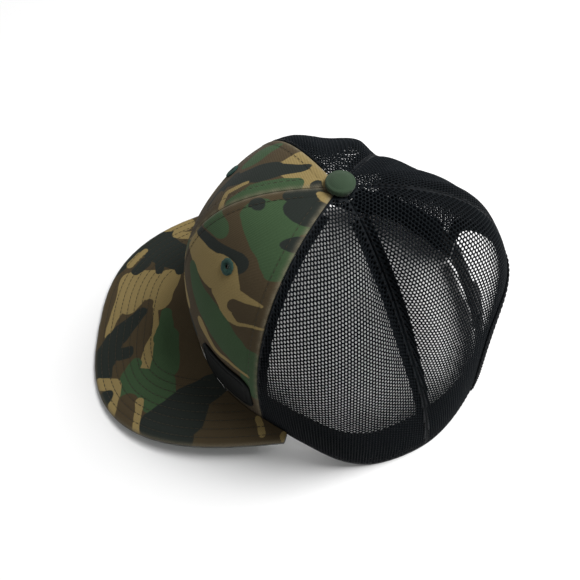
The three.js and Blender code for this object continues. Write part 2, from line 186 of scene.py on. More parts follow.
class Gore:
    """One crown panel laid flat: t mm up its middle, s mm across from the middle."""

    def __init__(self, start, end):
        self.mid, self.half_span = (start + end) / 2, (end - start) / 2
        self.rows = np.linspace(0, ROWS, 121)
        line = crown(np.full(121, self.mid), self.rows)
        self.t = np.concatenate([[0], np.cumsum(np.linalg.norm(np.diff(line, axis=0), axis=1))])
        us = np.linspace(start, end, 41)
        grid = crown(us[None, :], self.rows[:, None])
        self.half = np.linalg.norm(np.diff(grid, axis=1), axis=2).sum(1) / 2
        self.length = self.t[-1]

    def row(self, t):
        return np.interp(t, self.t, self.rows)

    def width(self, t):
        """Half the panel's width at a height."""
        return np.interp(t, self.t, self.half)

    def place(self, s, t):
        return self.mid + np.asarray(s) / self.width(t) * self.half_span, self.row(t)


# ---- Making meshes ---------------------------------------------------------------------------

def make(name, verts, faces, body, material, uv=None):
    """A piece from millimetre points, riding on its body. uv is the place on the flat cloth
    in millimetres, and where it has a third value, how near the point is to a rim that is
    lightened as wear and, on seam ridges, also as painted highlight."""
    mesh = bpy.data.meshes.new(name)
    points = (np.asarray(verts, float) + (0, SHIFT_Y, 0)) / 1000
    mesh.from_pydata(points.tolist(), [], [tuple(f) for f in faces])
    mesh.validate()
    if uv is not None:
        layer = mesh.uv_layers.new(name="cloth")
        loops = np.zeros(len(mesh.loops), int)
        mesh.loops.foreach_get("vertex_index", loops)
        layer.data.foreach_set("uv", (np.asarray(uv)[loops, :2] / 100).ravel())
        if uv.shape[1] > 2:
            rim = mesh.attributes.new("rim", "FLOAT", "POINT")
            rim.data.foreach_set("value", np.ascontiguousarray(uv[:, 2], np.float32))
    mesh.shade_smooth()
    obj = bpy.data.objects.new(name, mesh)
    bpy.context.scene.collection.objects.link(obj)
    mesh.materials.append(material)
    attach(obj, body)
    return obj


def shell(outer, inner, keep=None, uv=None):
    """Closed sheet between two point grids; keep says which cells of the grid there are."""
    m, n = outer.shape[:2]
    keep = np.ones((m - 1, n - 1), bool) if keep is None else keep
    index = np.arange(m * n).reshape(m, n)
    a, b, c, d = index[:-1, :-1][keep], index[1:, :-1][keep], index[1:, 1:][keep], index[:-1, 1:][keep]
    quads = np.stack([a, b, c, d], 1)
    edges = np.concatenate([quads[:, [k, (k + 1) % 4]] for k in range(4)])
    pairs = {tuple(e) for e in edges.tolist()}
    rim = [e for e in pairs if (e[1], e[0]) not in pairs]
    back = quads[:, ::-1] + m * n
    walls = [(p + m * n, q + m * n, q, p) for p, q in rim]
    verts = np.concatenate([outer.reshape(-1, 3), inner.reshape(-1, 3)])
    used, where = np.unique(np.concatenate([quads.ravel(), back.ravel()]), return_inverse=True)
    lookup = np.zeros(2 * m * n, int)
    lookup[used] = np.arange(len(used))
    faces = [tuple(lookup[list(f)]) for f in [*quads.tolist(), *back.tolist(), *walls]]
    flat_uv = None if uv is None else np.concatenate([uv.reshape(-1, uv.shape[-1])] * 2)[used]
    return verts[used], faces, flat_uv


def sweep(rings, closed=False):
    """Tube through equal rings of points, capped where it isn't closed."""
    rings = np.asarray(rings)
    m, n = rings.shape[:2]
    faces = []
    for i in range(m if closed else m - 1):
        j = (i + 1) % m
        for k in range(n):
            faces.append((i * n + k, i * n + (k + 1) % n, j * n + (k + 1) % n, j * n + k))
    if not closed:
        faces.append(tuple(range(n - 1, -1, -1)))
        faces.append(tuple(range((m - 1) * n, m * n)))
    return rings.reshape(-1, 3), faces


def along(path, step):
    """Points at equal steps along a polyline, with the directions there."""
    path = np.asarray(path, float)
    run = np.concatenate([[0], np.cumsum(np.linalg.norm(np.diff(path, axis=0), axis=1))])
    at = np.arange(step / 2, run[-1] - step / 4, step)
    points = np.stack([np.interp(at, run, path[:, k]) for k in range(3)], 1)
    ahead = np.stack([np.interp(at + 0.2, run, path[:, k]) for k in range(3)], 1)
    behind = np.stack([np.interp(at - 0.2, run, path[:, k]) for k in range(3)], 1)
    direction = ahead - behind
    return points, direction / np.linalg.norm(direction, axis=1, keepdims=True), at / max(run[-1], 1e-9)


STITCH, STITCH_GAP, THREAD = 2.4, 0.75, 0.24


def stitches(name, lines, body, material, stitch=STITCH, gap=STITCH_GAP, thread=THREAD):
    """Rows of single stitches. Each line is its points and the outward directions there."""
    verts, faces = [], []
    sides = np.arange(6) / 6 * 2 * math.pi
    for path, out in lines:
        path, out = np.asarray(path, float), np.asarray(out, float)
        points, forward, share = along(path, stitch + gap)
        order = np.linspace(0, 1, len(out))
        up = np.stack([np.interp(share, order, out[:, k]) for k in range(3)], 1)
        up /= np.linalg.norm(up, axis=1, keepdims=True)
        for p, f, n in zip(points, forward, up):
            f = f + np.cross(n, f) * rng.normal(0, 0.03)
            side = np.cross(f, n)
            rings = []
            for w in (-1, -0.72, 0, 0.72, 1):
                r = thread * (0.45 if abs(w) == 1 else 1)
                lift = thread * (0.75 - 1.0 * w * w)
                mid = p + f * w * stitch / 2 + n * lift
                rings.append(mid + r * (np.cos(sides)[:, None] * side * 1.15 + np.sin(sides)[:, None] * n))
            v, q = sweep(rings)
            base = len(verts) * len(v)
            verts.append(v)
            faces.extend(tuple(base + i for i in face) for face in q)
    return make(name, np.concatenate(verts), faces, body, material)


# ---- Materials -------------------------------------------------------------------------------

class Nodes:
    """A material being built: a Principled shader and helpers that add nodes to it."""

    def __init__(self, name, rough=0.9, sheen=0.0, metal=0.0, color=None, specular=0.5):
        self.material = bpy.data.materials.new(name)
        self.material.use_nodes = True
        self.tree = self.material.node_tree
        self.shader = self.tree.nodes["Principled BSDF"]
        self.shader.inputs["Roughness"].default_value = rough
        self.shader.inputs["Metallic"].default_value = metal
        self.shader.inputs["Sheen Weight"].default_value = sheen
        self.shader.inputs["Sheen Roughness"].default_value = 0.5
        self.shader.inputs["Specular IOR Level"].default_value = specular
        if color is not None:
            self.shader.inputs["Base Color"].default_value = (*color, 1)

    def add(self, kind, **settings):
        node = self.tree.nodes.new(kind)
        for key, value in settings.items():
            setattr(node, key, value)
        return node

    def link(self, a, b):
        self.tree.links.new(a, b)

    def feed(self, socket, value):
        if hasattr(value, "is_output"):
            self.link(value, socket)
        else:
            socket.default_value = value

    def math(self, operation, a, b=0.0, c=0.0):
        node = self.add("ShaderNodeMath", operation=operation)
        for socket, value in zip(node.inputs, (a, b, c)):
            self.feed(socket, value)
        return node.outputs[0]

    def vector(self, operation, a, b=(0, 0, 0)):
        node = self.add("ShaderNodeVectorMath", operation=operation)
        self.feed(node.inputs[0], a)
        self.feed(node.inputs[1], b)
        return node.outputs["Value" if operation in ("LENGTH", "DOT_PRODUCT", "DISTANCE") else "Vector"]

    def coords(self, kind="Object"):
        """Coordinates in millimetres: the object's own, or the flat cloth's."""
        source = self.add("ShaderNodeTexCoord").outputs[kind]
        node = self.add("ShaderNodeVectorMath", operation="SCALE")
        self.link(source, node.inputs[0])
        node.inputs["Scale"].default_value = 100 if kind == "UV" else 1000
        return node.outputs[0]

    def noise(self, where, size, detail=2.0, out="Fac", seed=0.0):
        node = self.add("ShaderNodeTexNoise", noise_dimensions="4D")
        self.link(where, node.inputs["Vector"])
        node.inputs["W"].default_value = seed
        node.inputs["Scale"].default_value = 1 / size
        node.inputs["Detail"].default_value = detail
        return node.outputs[out]

    def mix(self, share, a, b):
        node = self.add("ShaderNodeMix", data_type="RGBA")
        self.feed(node.inputs["Factor"], share)
        self.feed(node.inputs["A"], (*a, 1) if isinstance(a, tuple) and len(a) == 3 else a)
        self.feed(node.inputs["B"], (*b, 1) if isinstance(b, tuple) and len(b) == 3 else b)
        return node.outputs["Result"]

    def ramp(self, value, low, high):
        node = self.add("ShaderNodeMapRange", interpolation_type="SMOOTHSTEP")
        self.feed(node.inputs["Value"], value)
        node.inputs["From Min"].default_value = low
        node.inputs["From Max"].default_value = high
        return node.outputs["Result"]

    def turned(self, where, degrees, scale=(1, 1, 1), shift=(0, 0, 0)):
        node = self.add("ShaderNodeMapping", vector_type="POINT")
        self.link(where, node.inputs["Vector"])
        node.inputs["Location"].default_value = shift
        node.inputs["Rotation"].default_value = (0, 0, math.radians(degrees))
        node.inputs["Scale"].default_value = scale
        return node.outputs[0]

    def ribs(self, where, period, degrees=0.0):
        """Parallel ridges of a period in millimetres, 0 to 1."""
        node = self.add("ShaderNodeTexWave", wave_type="BANDS", bands_direction="X")
        self.link(self.turned(where, degrees), node.inputs["Vector"])
        node.inputs["Scale"].default_value = 2 * math.pi / period / 20
        return node.outputs["Fac"]

    def bump(self, height, distance, strength=1.0):
        node = self.add("ShaderNodeBump")
        node.inputs["Distance"].default_value = distance / 1000
        node.inputs["Strength"].default_value = strength
        self.link(height, node.inputs["Height"])
        self.link(node.outputs[0], self.shader.inputs["Normal"])


def twill(n, where, period=0.9, twist=55):
    """Height of a twill weave: diagonal wales crossed by finer threads."""
    wales = n.ribs(where, period, twist)
    threads = n.ribs(where, period * 0.62, twist - 90)
    fuzz = n.noise(where, 0.35, 3)
    return n.math("ADD", n.math("MULTIPLY", wales, n.math("ADD", threads, 1.0)), fuzz)


# Colours are linear, from the dyed cloth under even light.
TAN, GREEN = (0.226, 0.169, 0.070), (0.040, 0.072, 0.034)
BROWN, DARK = (0.058, 0.043, 0.024), (0.019, 0.023, 0.020)
RIM_WEAR_AND_HIGHLIGHT = (0.20, 0.175, 0.12)           # lighter cloth along seams and edges: wear, and on the seam ridges also painted highlight
CHAIN = 1e-7     # ties each stroke to the one under it, so that they are worked out one at a time
CAMO_COLOURS = {"tan": TAN, "green": GREEN, "brown": BROWN, "dark": DARK}


def camouflage(name, kind, base, strokes, wander=3.2, elsewhere=None):
    """Printed woodland cloth. A stroke is a colour, two ends and the half width at each, in
    millimetres on the cloth; later strokes lie over earlier ones, and all edges wander."""
    n = Nodes(name, rough=0.95, sheen=0.04, specular=0.05)
    where = n.coords(kind)
    flat = n.vector("MULTIPLY", where, (1, 1, 0))
    drift = n.noise(flat, 17, 1.5, "Color", seed=2.0)
    moved = n.vector("MULTIPLY", n.vector("SUBTRACT", drift, (0.5, 0.5, 0.5)), (wander * 4, wander * 4, 0))
    spot = n.vector("ADD", flat, moved)
    ragged = n.math("MULTIPLY", n.math("SUBTRACT", n.noise(flat, 0.8, 2), 0.5), 0.7)
    color = n.mix(0.0, CAMO_COLOURS[base], CAMO_COLOURS[base])
    if elsewhere:
        edge, softness = elsewhere
        wild = wild_print(n, spot)
        place = n.add("ShaderNodeSeparateXYZ")
        n.link(flat, place.inputs[0])
        color = n.mix(n.ramp(place.outputs["Y"], edge + softness, edge - softness), color, wild)
    for hue, (ax, ay), (bx, by), ra, rb in strokes:
        a, b = (ax, ay, 0), (bx, by, 0)
        span = Vector(b) - Vector(a)
        after = n.add("ShaderNodeVectorMath", operation="MULTIPLY_ADD")
        n.link(color, after.inputs[0])
        after.inputs[1].default_value = (CHAIN, CHAIN, CHAIN)
        n.link(spot, after.inputs[2])
        from_a = n.vector("SUBTRACT", after.outputs[0], a)
        share = n.math("DIVIDE", n.vector("DOT_PRODUCT", from_a, tuple(span)), max(span.length_squared, 1e-6))
        share = n.math("MINIMUM", n.math("MAXIMUM", share, 0.0), 1.0)
        step = n.add("ShaderNodeVectorMath", operation="SCALE")
        step.inputs[0].default_value = span
        n.link(share, step.inputs["Scale"])
        reach = n.vector("DISTANCE", from_a, step.outputs[0])
        radius = n.math("MULTIPLY_ADD", share, float(rb - ra), float(ra))
        inside = n.math("ADD", n.math("SUBTRACT", radius, reach), ragged)
        color = n.mix(n.ramp(inside, -0.25, 0.25), color, CAMO_COLOURS[hue])
    cloth_finish(n, color, where)
    return n.material


def wild_print(n, spot):
    """Woodland print with no set layout, for the cloth away from the laid-out strokes."""
    color = n.mix(n.ramp(n.noise(spot, 42, 1, seed=5.0), 0.47, 0.475), BROWN, TAN)
    color = n.mix(n.ramp(n.noise(spot, 46, 1, seed=9.0), 0.53, 0.535), color, GREEN)
    return n.mix(n.ramp(n.noise(spot, 38, 1, seed=14.0), 0.57, 0.575), color, DARK)


def cloth_finish(n, color, where):
    """Yarn-scale colour change, faint wear with a painted highlight along the seam ridges, and the weave's
    bump.
    """
    speck = n.noise(where, 0.7, 3)
    cloud = n.noise(where, 30, 3, seed=3.0)
    shade = n.math("ADD", n.math("MULTIPLY", speck, 0.5), n.math("ADD", n.math("MULTIPLY", cloud, 0.35), 0.6))
    weave = twill(n, where)
    shade = n.math("MULTIPLY", shade, n.math("ADD", n.math("MULTIPLY", weave, 0.1), 0.87))
    rim = n.add("ShaderNodeAttribute", attribute_name="rim").outputs["Fac"]
    # lighten toward rims: wear at the brim's edge, and on the front panels' seam ridges partly painted
    # highlight
    color = n.mix(n.math("MULTIPLY", rim, n.math("ADD", speck, 0.1)), color, RIM_WEAR_AND_HIGHLIGHT)
    tint = n.add("ShaderNodeVectorMath", operation="SCALE")
    n.link(color, tint.inputs[0])
    n.link(shade, tint.inputs["Scale"])
    n.link(tint.outputs[0], n.shader.inputs["Base Color"])
    n.bump(weave, 0.07, 0.6)


def woven(name, color, light=0.35, rough=0.9, sheen=0.2, period=0.9, kind="Object", depth=0.15, specular=0.3):
    """Plain dyed cloth or tape with a twill weave."""
    n = Nodes(name, rough=rough, sheen=sheen, specular=specular)
    where = n.coords(kind)
    weave = twill(n, where, period)
    cloud = n.noise(where, 12, 3)
    wear = n.math("MULTIPLY", n.math("ADD", weave, cloud), light * 0.4)
    worn = n.mix(wear, color, tuple(min(1, c * 2.2 + 0.01) for c in color))
    n.link(worn, n.shader.inputs["Base Color"])
    n.bump(weave, depth, 0.8)
    return n.material


def netting():
    """Knitted polyester: twisted strands with a slight gloss."""
    n = Nodes("black_netting", rough=0.6, sheen=0.0, specular=0.08)
    where = n.coords()
    strand = n.noise(n.turned(where, 35, (1, 1, 3)), 0.5, 3)
    cloud = n.noise(where, 25, 2)
    tone = n.math("ADD", n.math("MULTIPLY", strand, 0.6), n.math("MULTIPLY", cloud, 0.5))
    n.link(n.mix(tone, (0.0018, 0.0026, 0.0036), (0.006, 0.0085, 0.0108)), n.shader.inputs["Base Color"])
    n.bump(strand, 0.15, 0.7)
    return n.material


def moulded(name, color, rough=0.45, grain=0.5, depth=0.05, specular=0.4):
    """Moulded plastic or rubber with a fine pebbled grain and rubbed patches."""
    n = Nodes(name, rough=rough, specular=specular)
    where = n.coords()
    pebble = n.add("ShaderNodeTexVoronoi")
    n.link(where, pebble.inputs["Vector"])
    pebble.inputs["Scale"].default_value = 1 / grain
    rubbed = n.noise(where, 9, 4)
    n.link(n.mix(rubbed, color, tuple(c * 1.8 + 0.002 for c in color)), n.shader.inputs["Base Color"])
    gloss = n.math("ADD", n.math("MULTIPLY", rubbed, 0.3), rough - 0.15)
    n.link(gloss, n.shader.inputs["Roughness"])
    n.bump(pebble.outputs["Distance"], depth, 0.6)
    return n.material


def metal(name):
    n = Nodes(name, rough=0.35, metal=1.0, color=(0.5, 0.5, 0.49))
    where = n.coords()
    brushed = n.noise(n.turned(where, 20, (1, 12, 1)), 1.5, 3)
    n.link(n.mix(brushed, (0.38, 0.38, 0.37), (0.6, 0.6, 0.58)), n.shader.inputs["Base Color"])
    n.link(n.math("ADD", n.math("MULTIPLY", brushed, 0.3), 0.2), n.shader.inputs["Roughness"])
    n.bump(brushed, 0.02, 0.5)
    return n.material


def yarn(name, color, light=1.7):
    """Twisted thread."""
    n = Nodes(name, rough=0.7, sheen=0.08, specular=0.15)
    where = n.coords()
    ply = n.ribs(where, 0.35, 40)
    shade = n.math("MULTIPLY", ply, n.noise(where, 4, 2))
    lit = tuple(min(1, c * light) for c in color)
    n.link(n.mix(shade, color, lit), n.shader.inputs["Base Color"])
    n.bump(ply, 0.08, 0.6)
    return n.material


# The strokes of the print, laid out as on the real cloth. On the brim they are placed by x
# and y; on a front panel by the distance across from the centre seam and up from the hem.
BRIM_PRINT = [
    # the large tan field toward the front edge
    ("tan", (-34, -147), (8, -157), 8, 2),
    ("tan", (-30, -135), (-16, -145), 11, 9),
    ("tan", (-30, -117), (-14, -119), 8, 6),
    ("tan", (-24, -128), (-12, -121), 8, 6),
    ("tan", (-36, -142), (-31, -117), 7, 6),
    # the near-black mass on the wearer's right, its fingers and its arm along the edge
    ("dark", (-60, -129), (-48, -112), 12, 11),
    ("dark", (-48, -138), (-43, -143), 5, 4),
    ("dark", (-48, -126), (-39, -125), 4, 3),
    ("dark", (-44, -112), (-36, -110), 6, 4),
    ("dark", (-64, -146), (-45, -161), 7, 5),
    ("dark", (-76, -124), (-67, -135), 6, 8),
    # tan at the right horn and a sliver beside the dark arm
    ("tan", (-78, -126), (-77, -108), 4, 5),
    ("tan", (-70, -117), (-67, -107), 4, 3),
    ("tan", (-59, -139), (-49, -149), 2, 3),
    # brown and dark fingers reaching into the tan
    ("brown", (-14, -129), (-5, -131), 3, 4),
    ("brown", (-4, -131), (6, -138), 5, 9),
    ("dark", (-7, -134), (8, -148), 4, 7),
    ("dark", (12, -152), (25, -157), 7, 9),
    ("dark", (25, -158), (36, -157), 8, 7),
    ("dark", (22, -146), (21, -140), 5, 4),
    ("tan", (-7, -124), (9, -124), 2, 2),
    ("tan", (12, -124), (32, -127), 2, 5),
    # green, widening toward the wearer's left
    ("green", (-3, -116), (13, -117), 4, 7),
    ("green", (16, -114), (36, -114), 8, 10),
    ("green", (41, -136), (51, -118), 8, 14),
    ("green", (49, -138), (53, -142), 5, 3),
    ("green", (58, -116), (64, -113), 8, 5),
    ("green", (30, -134), (38, -137), 4, 5),
    # tan hook round a dark spot at the front edge
    ("tan", (41, -158), (43, -147), 4, 4),
    ("tan", (45, -145), (62, -145), 3, 4),
    ("dark", (51, -151), (54, -153), 5, 5),
    ("brown", (56, -136), (65, -137), 6, 7),
    ("tan", (57, -129), (76, -129), 3, 2),
    # the dark field along the wearer's left and the tan flecks behind it
    ("dark", (72, -118), (61, -98), 9, 10),
    ("dark", (78, -116), (80, -100), 8, 9),
    ("dark", (61, -98), (50, -77), 10, 7),
    ("dark", (72, -93), (64, -89), 8, 5),
    ("tan", (75, -54), (84, -52), 2, 2),
    ("tan", (86, -38), (89, -37), 2, 2),
]
LEFT_PRINT = [
    # green and a dark finger that starts at the centre seam and ends under the eyelet
    ("green", (1, 106), (10, 110), 7, 6),
    ("dark", (1, 91), (16, 100), 5, 5),
    ("dark", (16, 100), (31, 107), 5, 7),
    # the tan band below them
    ("tan", (6, 86), (30, 95), 7, 10),
    ("tan", (31, 97), (46, 92), 10, 7),
    ("tan", (40, 90), (50, 85), 6, 5),
    ("tan", (46, 95), (62, 99), 4, 1),
    ("tan", (50, 82), (61, 83), 4, 1),
    ("tan", (61, 83), (72, 88), 1, 1),
    ("brown", (52, 89), (62, 92), 4, 5),
    # the green band down to the hem
    ("green", (18, 78), (36, 72), 5, 10),
    ("green", (36, 72), (54, 69), 10, 11),
    ("green", (54, 69), (76, 61), 11, 10),
    ("green", (76, 66), (88, 36), 7, 7),
    ("tan", (38, 55), (54, 50), 4, 2),
    ("tan", (54, 50), (81, 50), 2, 1),
    ("green", (42, 23), (50, 20), 2, 4),
    # the large green field of the upper panel
    ("green", (12, 132), (32, 128), 9, 10),
    ("green", (32, 128), (50, 117), 10, 5),
    ("green", (13, 142), (24, 140), 7, 7),
    # dark patches by the button and on the side seam
    ("dark", (5, 150), (4, 158), 5, 6),
    ("dark", (16, 150), (23, 149), 9, 6),
    ("dark", (36, 134), (39, 134), 6, 6),
    ("tan", (6, 162), (10, 162), 3, 4),
    ("dark", (6, 132), (7, 132), 4, 3),
    # low at the front, beside the centre seam
    ("tan", (3, 56), (17, 48), 5, 6),
    ("dark", (2, 38), (22, 31), 7, 9),
    ("green", (4, 12), (24, 6), 8, 6),
    ("tan", (25, 16), (33, 4), 4, 6),
]
RIGHT_PRINT = [
    ("tan", (-25, 143), (-7, 159), 12, 9),
    ("brown", (-34, 131), (-26, 130), 8, 7),
    ("green", (-40, 118), (-32, 117), 7, 6),
    ("green", (-3, 149), (-4, 129), 5, 5),
    ("green", (-4, 129), (0, 118), 5, 3),
    ("dark", (-15, 149), (-15, 134), 3, 6),
    ("dark", (-16, 132), (-19, 113), 7, 4),
    ("dark", (-21, 112), (-9, 102), 4, 3),
    ("tan", (-11, 125), (-10, 114), 1, 2),
    ("tan", (-10, 114), (-1, 112), 2, 2),
    ("brown", (-12, 107), (-3, 100), 3, 3),
    ("dark", (-2, 160), (0, 162), 3, 2),
]

BRIM_CAMO = camouflage("camo_twill_brim", "UV", "brown", BRIM_PRINT, wander=1.6)
LEFT_CAMO = camouflage("camo_twill_left", "UV", "brown", LEFT_PRINT, wander=1.6)
RIGHT_CAMO = camouflage("camo_twill_right", "UV", "brown", RIGHT_PRINT, wander=1.6, elsewhere=(94, 3))
UNDER_GREEN = woven(
    "under_brim_green", (0.030, 0.052, 0.030), light=0.15, kind="UV", sheen=0.08, specular=0.15
)
BUTTON_GREEN = woven(
    "button_cloth", (0.030, 0.052, 0.029), light=0.15, sheen=0.08, period=0.55, depth=0.08, specular=0.15
)
NETTING = netting()
TAPE_BLACK = woven("black_tape", (0.004, 0.005, 0.006), period=1.4, depth=0.25, sheen=0.0, specular=0.06)
BAND_BLACK = woven("sweatband_cloth", (0.004, 0.006, 0.009), period=1.1, kind="UV", sheen=0.0, specular=0.06)
BUCKRAM = woven("stiff_buckram", (0.62, 0.60, 0.55), light=0.2, period=1.2, depth=0.3)
EYELET_THREAD = yarn("eyelet_thread", (0.014, 0.040, 0.032))
CAMO_THREAD = yarn("camo_topstitch", (0.026, 0.022, 0.013))
BLACK_THREAD = yarn("black_topstitch", (0.006, 0.006, 0.007))
# near-black rubber, darkened further as painted shade for the badge's down-facing side
BADGE_BLACK_AND_SHADE = moulded(
    "badge_rubber_black_with_painted_shade", (0.0015, 0.002, 0.002), rough=0.6, grain=0.6, depth=0.06, specular=0.08
)
STRAP_BLACK = moulded("strap_plastic_black", (0.010, 0.010, 0.011), rough=0.38, grain=0.35, depth=0.03)
BOARD_GREY = moulded("brim_board_grey", (0.04, 0.04, 0.04), rough=0.6)
STEEL = metal("rivet_steel")


# ---- Front panels ------------------------------------------------------------------------------

SEAM_STITCH = 5.4      # topstitching runs this far from a seam
SEAM_GROOVE = 6.2      # the cloth dips this far from a seam
SEAM_ZONE = 8.5        # the cloth is shaped by its seam up to here
SEAM_COLUMNS = 22      # columns of points in that zone
MIDDLE_COLUMNS = 50    # and between the two zones of a panel
EDGE_INSET = 0.15      # a panel stops this far short of its seam
FRONT_CLOTH = 1.0      # thickness of a front panel
EYELET_CUT = 2.4       # radius of the hole cut for an eyelet


def seam_depth(d):
    """How deep the cloth lies at a distance from a seam: turned in at the seam, plump over
    the seam allowance and dipping just outside the topstitching."""
    distances = (0, 0.5, 1.2, 2.6, 4.6, 5.6, SEAM_GROOVE, 6.9, SEAM_ZONE)
    depths = (0.62, 0.3, 0.0, -0.22, -0.24, -0.1, 0.14, 0.0, 0.0)
    return np.interp(d, distances, depths)


def front_panel(side, name, material):
    columns_near = np.linspace(0, SEAM_ZONE, SEAM_COLUMNS)
    ts = np.concatenate([np.linspace(0, 3, 8), np.linspace(3.9, 164.5, 175)])
    first, last = (0, 2) if side > 0 else (-2, 0)
    gore = Gore(first, last)
    ts = ts * gore.length / ts[-1]
    width = 2 * gore.width(ts)
    d = np.zeros((len(ts), 2 * SEAM_COLUMNS + MIDDLE_COLUMNS))
    for i, w in enumerate(width):
        reach = min(SEAM_ZONE, w * 0.3)
        edge = columns_near / SEAM_ZONE * reach
        middle = np.linspace(reach, w - reach, MIDDLE_COLUMNS + 2)[1:-1]
        d[i] = np.concatenate([edge, middle, w - edge[::-1]])
    share = np.clip(d, EDGE_INSET, None)
    share = np.minimum(share, (width[:, None] - EDGE_INSET)) / width[:, None]
    u = first + share * (last - first)
    row = np.broadcast_to(gore.row(ts)[:, None], u.shape)
    from_seam = np.minimum(d, width[:, None] - d)
    wave = np.sin(ts[:, None] * 2 * math.pi / 7.3 + 3 * np.sin(ts[:, None] / 19))
    pucker = 1 + 0.35 * wave * np.exp(-((from_seam - SEAM_GROOVE) / 2.5) ** 2)
    depth = seam_depth(from_seam) * pucker
    hem_turn = np.interp(ts, (0, 0.8, 2.0), (0.4, 0.1, 0.0))[:, None]
    top = crown_in(u, row, depth + hem_turn)
    under = crown_in(u, row, np.full(u.shape, FRONT_CLOTH))
    hole = crown(side * EYELET_STATION, EYELET_ROW)
    centre = (top[1:, 1:] + top[:-1, :-1]) / 2
    keep = np.linalg.norm(centre - hole, axis=2) > EYELET_CUT
    across = d if side > 0 else d - width[:, None]
    # how strongly the cloth is lightened along each seam: partly wear, partly painted highlight on the ridge
    rim = np.exp(-((from_seam / 1.6) ** 2)) * (0.8 + 0.2 * np.sin(ts[:, None] * 0.9))
    uv = np.stack([across, np.broadcast_to(ts[:, None], d.shape), rim], -1)
    v, f, uvs = shell(top, under, keep, uv)
    obj = make(f"cloth_{name}", v, f, "crown", material, uvs)
    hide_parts(f"front_panel_{name}")
    return obj


front_left = front_panel(1, "left", LEFT_CAMO)
front_right = front_panel(-1, "right", RIGHT_CAMO)


def crown_line(u, rows, depth=0.0):
    """A line up the crown with the outward directions along it."""
    u = np.broadcast_to(np.asarray(u, float), np.shape(rows))
    return crown_in(u, rows, np.full(np.shape(rows), depth)), crown_out(u, rows)


def beside_seam(station, distance, low, high, count=90):
    """Stations of a line that keeps a distance from a seam, between two rows."""
    rows = np.linspace(low, high, count)
    h = 0.01
    scale = np.linalg.norm(crown(station + h, rows) - crown(station - h, rows), axis=1) / (2 * h)
    return station + distance / scale, rows


seam_lines = []
for seam, directions in ((0, (1, -1)), (2, (-1,)), (-2, (1,))):
    for direction in directions:
        seam_lines.append(crown_line(*beside_seam(seam, direction * SEAM_STITCH, 0.15, 11.1), depth=-0.02))
stitches("front_seam_stitching", seam_lines, "crown", CAMO_THREAD, thread=0.17)

# ---- Mesh panels --------------------------------------------------------------------------------

WALE, COURSE = 1.72, 2.0          # spacing of the columns of holes, and of the holes in one
HOLE_WIDE, HOLE_TALL = 0.50, 0.60   # hole size as a share of its cell
STRAND_FLAT = 0.8                  # strand thickness
EDGE_SOLID, HEM_SOLID = 1.3, 3.0   # turned-in cloth along seams and hem, without holes


def net_panel(name, start, end, arch=False):
    gore = Gore(start, end)
    widest = gore.half.max() + WALE
    radius, half_course = WALE / 1.5, COURSE / 2
    columns = np.arange(-int(widest / WALE) - 1, int(widest / WALE) + 2)
    courses = np.arange(-1, int(gore.length / COURSE) + 2)
    ci, cj = np.meshgrid(columns, courses, indexing="ij")
    s0 = ci * WALE
    t0 = cj * COURSE + (ci % 2) * half_course + 0.6
    w0 = gore.width(np.clip(t0, 0, gore.length))
    keep = (np.abs(s0) < w0 + 0.3 * WALE) & (t0 > -0.4 * COURSE) & (t0 < gore.length + 0.3 * COURSE)
    s0, t0, w0 = s0[keep], t0[keep], w0[keep]
    u0, r0 = gore.place(np.clip(s0, -w0, w0), np.clip(t0, 0, gore.length))
    from_arch = np.full(len(s0), 99.0)
    if arch:
        c0 = crown(u0, r0)
        from_arch = np.where(c0[:, 1] > 0, in_arch(c0[:, 0], c0[:, 2]), 99.0)
        inside = from_arch > 0.6
        s0, t0, w0, from_arch = s0[inside], t0[inside], w0[inside], from_arch[inside]
    is_open = (w0 - np.abs(s0) > EDGE_SOLID) & (t0 > HEM_SOLID) & (t0 < gore.length - 2) & (from_arch > 4)
    corner = np.arange(6) * math.pi / 3
    hx, hy = np.cos(corner) * radius, np.sin(corner) * radius * half_course / (radius * math.sin(math.pi / 3))
    outer_s, outer_t = s0[:, None] + hx, t0[:, None] + hy
    key_across, key_along = np.round(outer_s / (radius / 2)), np.round((outer_t - 0.6) / half_course)
    key = np.stack([key_across, key_along], -1).astype(int)
    flat_key = key.reshape(-1, 2)
    unique, first, where = np.unique(flat_key, axis=0, return_index=True, return_inverse=True)
    where = where.reshape(-1, 6)
    us, ut = outer_s.reshape(-1)[first], outer_t.reshape(-1)[first]
    ut = np.clip(ut, 0, gore.length)
    limit = gore.width(ut) - 0.2
    us = np.clip(us, -limit, limit)
    u, r = gore.place(us, ut)
    sway = 0.12 * np.sin(us * 0.9) * np.sin(ut * 0.35)
    crest, back = crown_in(u, r, 0.02 + sway * 0.3), crown_in(u, r, np.full(len(u), STRAND_FLAT))
    total = len(unique)
    verts, faces = [crest, back], []
    hole_s = s0[is_open][:, None] + hx * HOLE_WIDE
    hole_t = t0[is_open][:, None] + hy * HOLE_TALL
    hu, hr = gore.place(hole_s, np.clip(hole_t, 0, gore.length))
    verts.append(crown_in(hu, hr, np.full(hu.shape, 0.02 + STRAND_FLAT / 2)).reshape(-1, 3))
    used = {}
    for index, ring in enumerate(where[is_open].tolist()):
        base = 2 * total + 6 * index
        for k in range(6):
            m = (k + 1) % 6
            faces.append((ring[k], ring[m], base + m, base + k))
            faces.append((ring[m] + total, ring[k] + total, base + k, base + m))
    solid = where[~is_open].tolist()
    for ring in solid:
        ring = list(dict.fromkeys(ring))
        if len(ring) > 2:
            faces.append(tuple(ring))
            faces.append(tuple(v + total for v in reversed(ring)))
    edges = {}
    for ring in where.tolist():
        for k in range(6):
            a, b = ring[k], ring[(k + 1) % 6]
            if a != b:
                edges[(a, b)] = True
    for a, b in edges:
        if (b, a) not in edges:
            faces.append((b, a, a + total, b + total))
    obj = make(f"net_{name}", np.concatenate(verts), faces, "crown", NETTING)
    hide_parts(name)
    return obj


net_panel("side_mesh_left", 2, 4)
net_panel("side_mesh_right", -4, -2)
net_panel("back_mesh_left", 4, 6, arch=True)
net_panel("back_mesh_right", -6, -4, arch=True)

